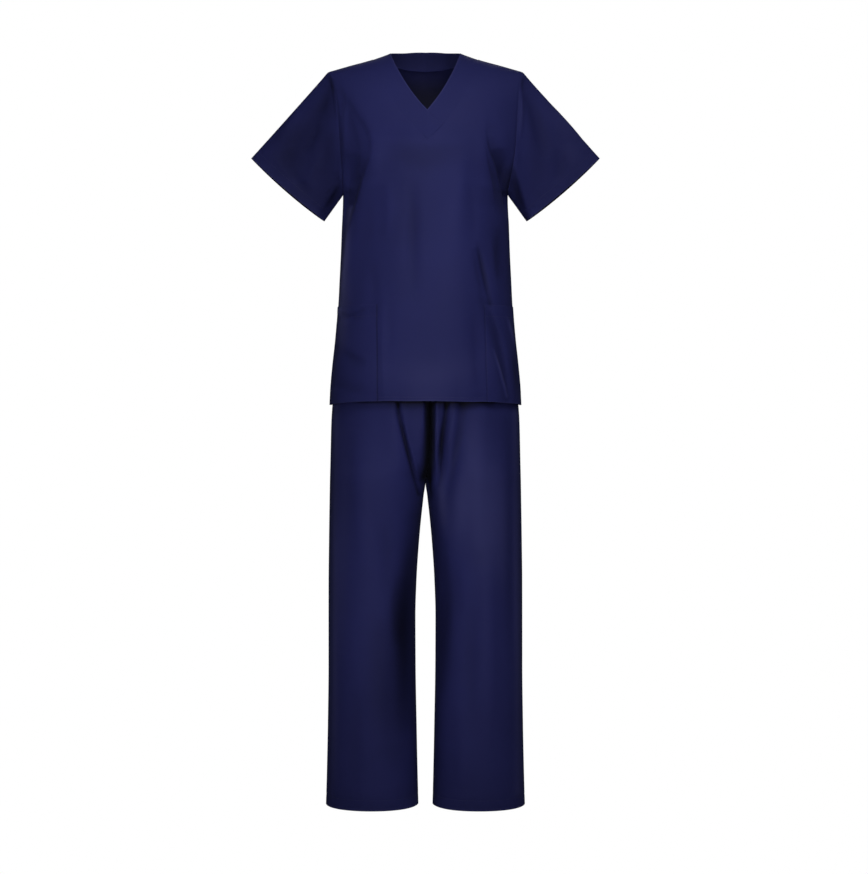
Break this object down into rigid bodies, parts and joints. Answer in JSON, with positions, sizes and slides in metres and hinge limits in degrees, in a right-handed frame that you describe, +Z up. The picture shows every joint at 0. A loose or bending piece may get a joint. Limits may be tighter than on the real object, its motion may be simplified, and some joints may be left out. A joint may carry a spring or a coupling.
{
  "type": "medical scrubs set",
  "caption": "V-neck short-sleeved scrub top with lower patch pockets over straight wide-legged trousers, filled out as if worn.",
  "frame": {"origin": "midway between the two points of the neck at the height of the shoulders, where the set is held", "axes": "+Z up, -Y out of the front, +X to the wearer's left"},
  "size_m": [0.7356, 0.2705, 1.593],
  "materials": {
    "top_front": "matt navy plain-weave cotton and polyester cloth",
    "top_back": "matt navy plain-weave cotton and polyester cloth",
    "neckband": "matt navy plain-weave cotton and polyester cloth",
    "sleeve_right": "matt navy plain-weave cotton and polyester cloth",
    "sleeve_left": "matt navy plain-weave cotton and polyester cloth",
    "pocket_right": "matt navy plain-weave cotton and polyester cloth",
    "pocket_left": "matt navy plain-weave cotton and polyester cloth",
    "waistband": "matt navy plain-weave cotton and polyester cloth",
    "trouser_front_right": "matt navy plain-weave cotton and polyester cloth",
    "trouser_front_left": "matt navy plain-weave cotton and polyester cloth",
    "trouser_back_right": "matt navy plain-weave cotton and polyester cloth",
    "trouser_back_left": "matt navy plain-weave cotton and polyester cloth"
  },
  "bodies": {
    "root": {"top_front": "top_front", "top_back": "top_back", "neckband": "neckband", "sleeve_right": "sleeve_right", "sleeve_left": "sleeve_left", "pocket_right": "pocket_right", "pocket_left": "pocket_left", "waistband": "waistband", "trouser_front_right": "trouser_front_right", "trouser_front_left": "trouser_front_left", "trouser_back_right": "trouser_back_right", "trouser_back_left": "trouser_back_left"}
  },
  "joints": []
}
